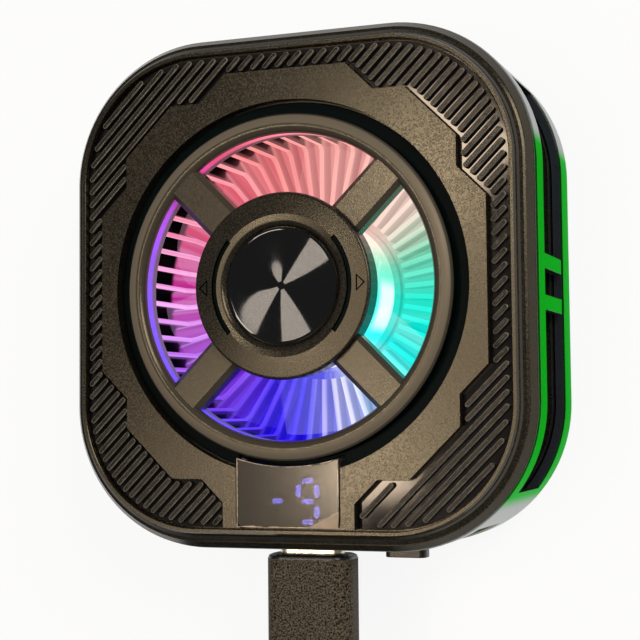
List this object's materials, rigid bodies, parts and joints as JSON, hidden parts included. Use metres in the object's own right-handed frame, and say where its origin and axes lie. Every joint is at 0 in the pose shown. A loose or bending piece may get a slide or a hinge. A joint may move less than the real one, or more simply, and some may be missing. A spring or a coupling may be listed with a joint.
{
  "type": "phone cooling fan",
  "caption": "Square magnetic phone cooler with rounded corners, a lit fan behind a spoked ring, ribbed face, small display, side vents, metal cold plate and plugged-in cable.",
  "frame": {"origin": "centre of the cold plate's contact face, which is the back of the cooler", "axes": "+Z out of the front with the fan, +Y away from the cable socket, +X to the right seen from the front"},
  "size_m": [0.0739, 0.1297, 0.0252],
  "materials": {
    "satin_plastic": "satin charcoal with a fine grain",
    "gloss_black": "gloss black",
    "frame_metal": "polished, green along the sides and silver at the corners",
    "smoked_window": "smoked",
    "display_light": "lit lavender segments",
    "dark_plastic": "moulded",
    "diffuser": "milky translucent",
    "light_chip": "moulded",
    "circuit_board": "solder mask",
    "soft_pad": "soft matt",
    "sink_metal": "milled",
    "magnet_metal": "plated",
    "thermo_plate": "fired white",
    "thermo_pellet": "sawn",
    "bearing_metal": "sintered",
    "winding": "enamelled wire",
    "steel": "plated",
    "plug_metal": "drawn shell",
    "fan_plastic": "clear tinted",
    "plug_plastic": "grained",
    "cable_jacket": "satin jacket",
    "tie_strap": "woven strap"
  },
  "bodies": {
    "base": {"front_cover": "satin_plastic", "face_panel": "satin_plastic", "fan_grille": "satin_plastic", "rear_cover": "satin_plastic", "motor_base": "satin_plastic", "ribbed_inlay": "gloss_black", "hub_badge": "gloss_black", "side_frame": "frame_metal", "display_window": "smoked_window", "display_segments": "display_light", "display_module": "dark_plastic", "control_chips": "dark_plastic", "socket_tongue": "dark_plastic", "light_ring": "diffuser", "led_chips": "light_chip", "led_board": "circuit_board", "motor_board": "circuit_board", "control_board": "circuit_board", "contact_pad": "soft_pad", "insulating_gasket": "soft_pad", "heat_sink": "sink_metal", "cold_plate": "sink_metal", "magnet_ring": "magnet_metal", "peltier_cold_side": "thermo_plate", "peltier_hot_side": "thermo_plate", "peltier_pellets": "thermo_pellet", "bearing_sleeve": "bearing_metal", "stator_coils": "winding", "stator_core": "steel", "usb_socket": "steel", "tact_switch": "steel", "housing_screws": "steel", "board_screws": "steel", "plug_shell": "plug_metal", "far_plug_shell": "plug_metal", "plug_body": "plug_plastic", "plug_boot": "plug_plastic", "far_plug_body": "plug_plastic", "far_plug_boot": "plug_plastic", "cable_lead": "cable_jacket", "cable_coil": "cable_jacket", "cable_tail": "cable_jacket", "cable_tie": "tie_strap"},
    "rotor": {"fan_rotor": "fan_plastic", "rotor_magnet": "magnet_metal", "fan_shaft": "steel"},
    "button": {"power_button": "gloss_black"}
  },
  "joints": [
    {"name": "fan_spin", "type": "hinge", "parent": "base", "child": "rotor", "pos_m": [0, 0, 0.015], "axis": [0, 0, 1], "continuous": true},
    {"name": "button_press", "type": "slide", "parent": "base", "child": "button", "axis": [0, 1, 0], "range_m": [0, 0.0005], "stiffness_N_per_m": 2500}
  ]
}
